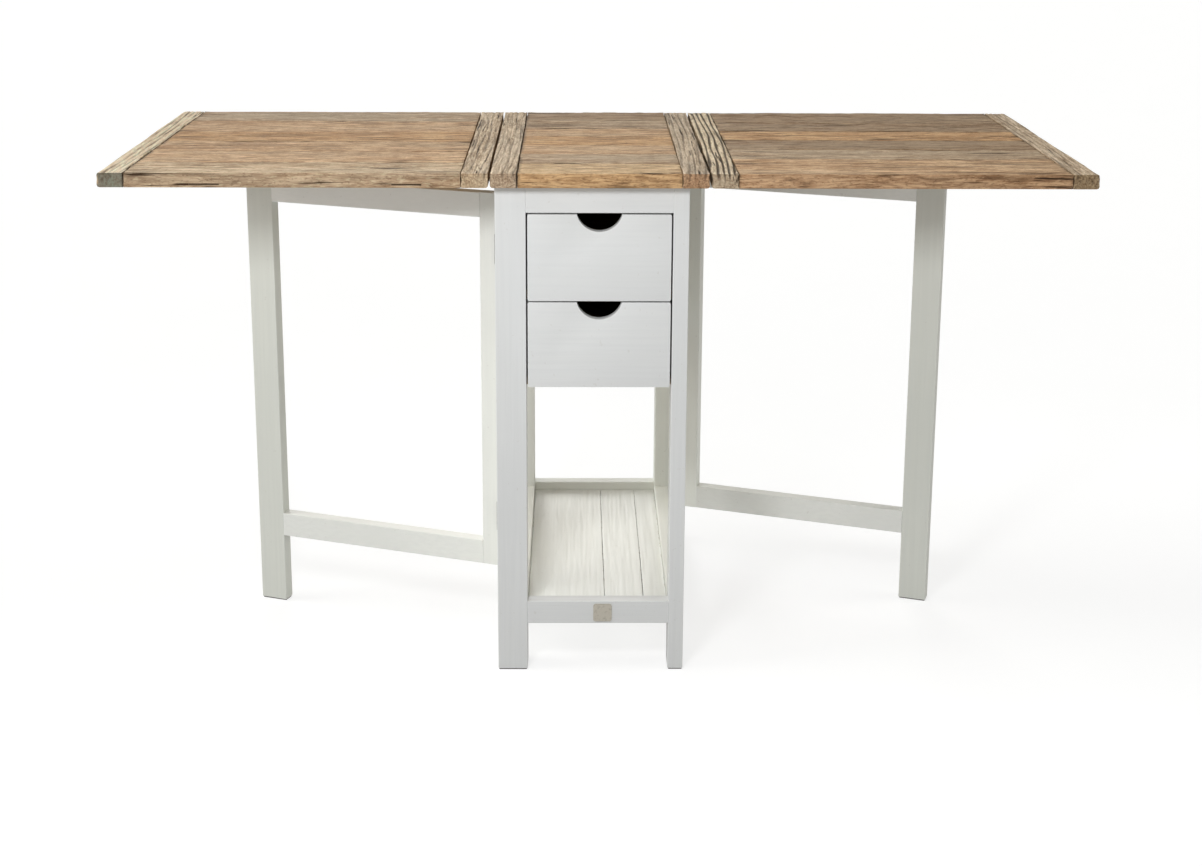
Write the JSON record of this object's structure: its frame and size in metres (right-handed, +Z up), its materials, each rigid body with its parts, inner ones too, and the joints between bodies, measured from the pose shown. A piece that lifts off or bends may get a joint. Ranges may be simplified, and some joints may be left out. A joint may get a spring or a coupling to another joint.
{
  "type": "folding bar table",
  "caption": "Narrow bar-height table with a drawer case and a shelf, whose hinged leaves are held up by gates that swing out on both sides.",
  "frame": {"origin": "on the floor, under the middle of the open top", "axes": "+X to the right along the open top, +Y from the drawer fronts to the back, +Z up"},
  "size_m": [1.85, 0.78, 1],
  "materials": {
    "white_paint": "white satin paint on wood, lightly worn at the edges",
    "old_planks": "reclaimed planks, weathered brown and grey, oiled",
    "grey_battens": "weathered grey-tan cross battens with open grain",
    "raw_wood": "plain planed wood",
    "hinge_steel": "plain zinc-plated steel",
    "plate_metal": "dull bare metal",
    "foot_pads": "dark rubber"
  },
  "bodies": {
    "frame": {"leg_front_left": "white_paint", "leg_front_right": "white_paint", "leg_back_left": "white_paint", "leg_back_right": "white_paint", "frame_foot_pads": "foot_pads", "top_rail_front": "white_paint", "top_rail_back": "white_paint", "top_rail_left": "white_paint", "top_rail_right": "white_paint", "bottom_rail_front": "white_paint", "bottom_rail_back": "white_paint", "bottom_rail_left": "white_paint", "bottom_rail_right": "white_paint", "hinge_post_left": "white_paint", "hinge_post_right": "white_paint", "case_side_panels": "white_paint", "case_back_panel": "white_paint", "drawer_runners": "raw_wood", "drawer_stops": "raw_wood", "shelf_bearers": "raw_wood", "shelf_planks": "white_paint", "front_plate": "plate_metal", "plate_pins": "plate_metal", "centre_planks": "old_planks", "centre_batten_left": "grey_battens", "centre_batten_right": "grey_battens", "top_brackets": "hinge_steel", "frame_screws": "hinge_steel", "flap_hinge_leaves": "hinge_steel", "flap_hinge_pins": "hinge_steel", "gate_hinge_leaves": "hinge_steel", "gate_hinge_pins": "hinge_steel"},
    "leaf_left": {"left_leaf_planks": "old_planks", "left_leaf_inner_batten": "grey_battens", "left_leaf_outer_batten": "grey_battens", "left_leaf_stop_block": "raw_wood", "left_leaf_hinges": "hinge_steel"},
    "leaf_right": {"right_leaf_planks": "old_planks", "right_leaf_inner_batten": "grey_battens", "right_leaf_outer_batten": "grey_battens", "right_leaf_stop_block": "raw_wood", "right_leaf_hinges": "hinge_steel"},
    "gate_left": {"left_gate_leg": "white_paint", "left_gate_stile": "white_paint", "left_gate_top_rail": "white_paint", "left_gate_bottom_rail": "white_paint", "left_gate_foot_pad": "foot_pads", "left_gate_hinges": "hinge_steel"},
    "gate_right": {"right_gate_leg": "white_paint", "right_gate_stile": "white_paint", "right_gate_top_rail": "white_paint", "right_gate_bottom_rail": "white_paint", "right_gate_foot_pad": "foot_pads", "right_gate_hinges": "hinge_steel"},
    "drawer_upper": {"drawer_upper_front": "white_paint", "drawer_upper_box": "raw_wood", "drawer_upper_bottom": "raw_wood"},
    "drawer_lower": {"drawer_lower_front": "white_paint", "drawer_lower_box": "raw_wood", "drawer_lower_bottom": "raw_wood"}
  },
  "joints": [
    {"name": "gate_left_swing", "type": "hinge", "parent": "frame", "child": "gate_left", "pos_m": [-0.2002, -0.1928, 0], "axis": [0, 0, 1], "range_deg": [-70, 0]},
    {"name": "gate_right_swing", "type": "hinge", "parent": "frame", "child": "gate_right", "pos_m": [0.2002, 0.1928, 0], "axis": [0, 0, 1], "range_deg": [-70, 0]},
    {"name": "leaf_left_lift", "type": "hinge", "parent": "frame", "child": "leaf_left", "pos_m": [-0.2045, 0, 0.97], "axis": [0, 1, 0], "range_deg": [0, 5]},
    {"name": "leaf_right_lift", "type": "hinge", "parent": "frame", "child": "leaf_right", "pos_m": [0.2045, 0, 0.97], "axis": [0, -1, 0], "range_deg": [0, 5]},
    {"name": "drawer_upper_slide", "type": "slide", "parent": "frame", "child": "drawer_upper", "axis": [0, -1, 0], "range_m": [0, 0.45]},
    {"name": "drawer_lower_slide", "type": "slide", "parent": "frame", "child": "drawer_lower", "axis": [0, -1, 0], "range_m": [0, 0.45]}
  ]
}
